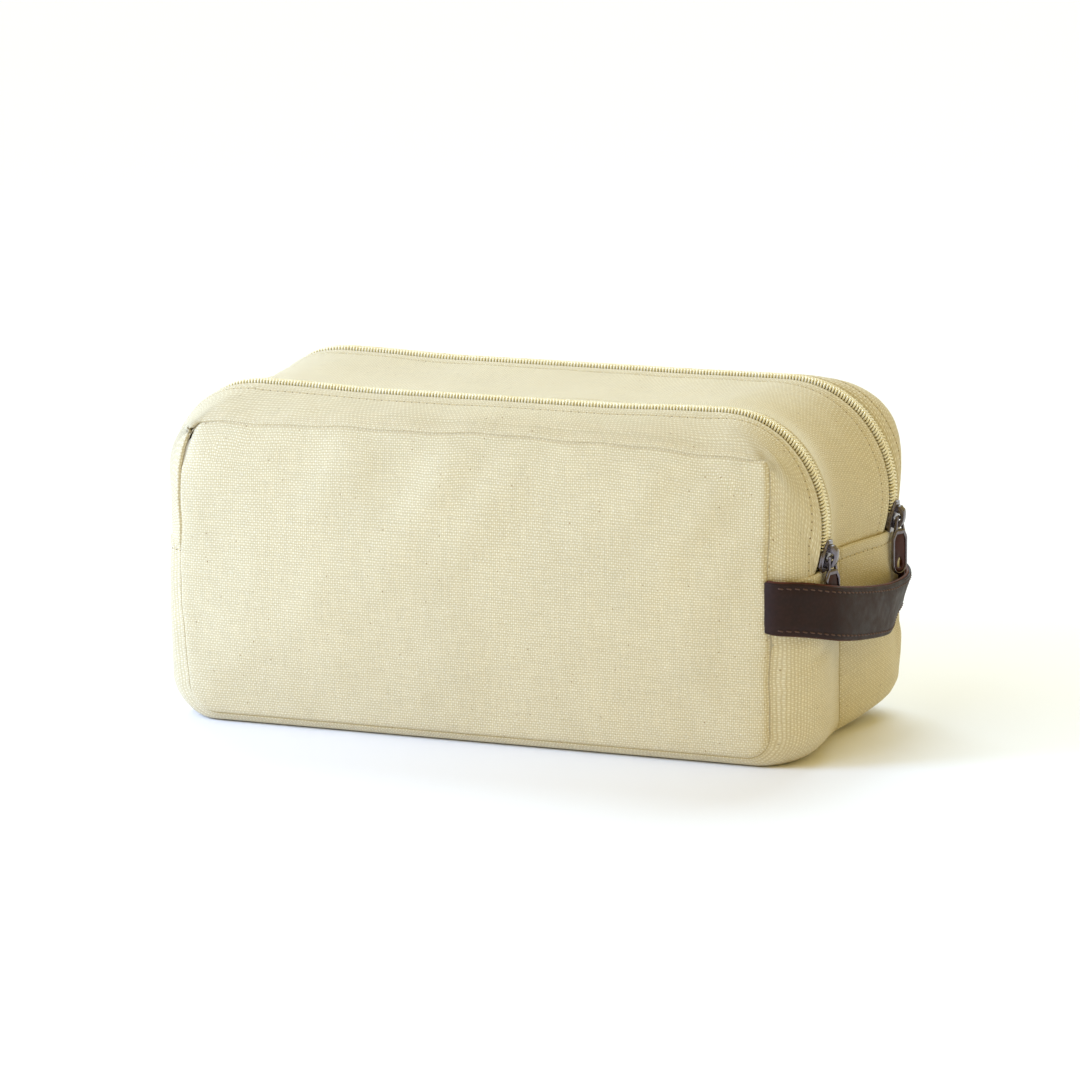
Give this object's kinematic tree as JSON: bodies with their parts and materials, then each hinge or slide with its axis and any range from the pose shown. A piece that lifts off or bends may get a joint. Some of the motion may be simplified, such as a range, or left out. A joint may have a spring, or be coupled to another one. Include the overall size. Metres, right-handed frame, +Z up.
{
  "type": "shaving kit bag",
  "caption": "Boxy canvas shaving kit bag with two zipped compartments, a seam-sewn leather strap handle on one end and metal zip sliders with hanging pulls.",
  "frame": {"origin": "middle of the footprint, on the surface the bag stands on, halfway between the panel seams and between the two long-way end walls", "axes": "+X along the length towards the end that carries the strap, -Y to the front face, +Z up"},
  "size_m": [0.2785, 0.1274, 0.1309],
  "materials": {
    "canvas": "undyed heavy cotton canvas, plain weave with slubs",
    "lining": "thin plain woven lining cloth",
    "zip_tape": "woven polyester zip tape",
    "zip_coil": "nylon coil, satin",
    "slider_metal": "gunmetal plated zinc, bright edges",
    "pull_leather": "smooth dark brown inset",
    "strap_leather": "dark brown smooth leather, fine grain",
    "strap_lining": "reddish brown leather backing"
  },
  "bodies": {
    "bag": {"front_panel_lower": "canvas", "back_panel_lower": "canvas", "front_gusset": "canvas", "rear_gusset": "canvas", "centre_band": "canvas", "divider": "lining", "front_zip_tape_inner": "zip_tape", "front_zip_coil_inner": "zip_coil", "front_zip_end": "zip_tape", "front_lower_lining": "lining", "front_band_lining": "lining", "rear_zip_tape_inner": "zip_tape", "rear_zip_coil_inner": "zip_coil", "rear_zip_end": "zip_tape", "rear_lower_lining": "lining", "rear_band_lining": "lining"},
    "front_flap": {"front_panel_upper": "canvas", "front_zip_strip": "canvas", "front_zip_tape_outer": "zip_tape", "front_zip_coil_outer": "zip_coil", "front_flap_lining": "lining"},
    "rear_flap": {"back_panel_upper": "canvas", "rear_zip_strip": "canvas", "rear_zip_tape_outer": "zip_tape", "rear_zip_coil_outer": "zip_coil", "rear_flap_lining": "lining"},
    "front_slider": {"front_zip_slider": "slider_metal"},
    "rear_slider": {"rear_zip_slider": "slider_metal"},
    "front_pull": {"front_zip_pull": "slider_metal", "front_pull_inset": "pull_leather"},
    "rear_pull": {"rear_zip_pull": "slider_metal", "rear_pull_inset": "pull_leather"},
    "handle": {"strap_outer_ply": "strap_leather", "strap_inner_ply": "strap_lining"}
  },
  "joints": [
    {"name": "front_flap_fold", "type": "hinge", "parent": "bag", "child": "front_flap", "pos_m": [0, -0.0648, 0.07215], "axis": [1, 0, 0], "range_deg": [0, 45]},
    {"name": "rear_flap_fold", "type": "hinge", "parent": "bag", "child": "rear_flap", "pos_m": [0, 0.0648, 0.07215], "axis": [-1, 0, 0], "range_deg": [0, 45]},
    {"name": "front_slider_run", "type": "hinge", "parent": "bag", "child": "front_slider", "pos_m": [0.0905, -0.04, 0.0875], "axis": [0, -1, 0], "range_deg": [0, 90]},
    {"name": "rear_slider_run", "type": "hinge", "parent": "bag", "child": "rear_slider", "pos_m": [0.0905, 0.04, 0.0875], "axis": [0, -1, 0], "range_deg": [0, 90]},
    {"name": "front_pull_swing", "type": "hinge", "parent": "front_slider", "child": "front_pull", "pos_m": [0.13619, -0.04, 0.07887], "axis": [0, -1, 0], "range_deg": [0, 165]},
    {"name": "rear_pull_swing", "type": "hinge", "parent": "rear_slider", "child": "rear_pull", "pos_m": [0.13619, 0.04, 0.07887], "axis": [0, -1, 0], "range_deg": [0, 165]},
    {"name": "strap_lift", "type": "hinge", "parent": "bag", "child": "handle", "pos_m": [0.1205, 0, 0.05572], "axis": [0, -0.994, 0.1096], "range_deg": [-6, 20], "deforming": ["strap_outer_ply", "strap_inner_ply"]}
  ]
}
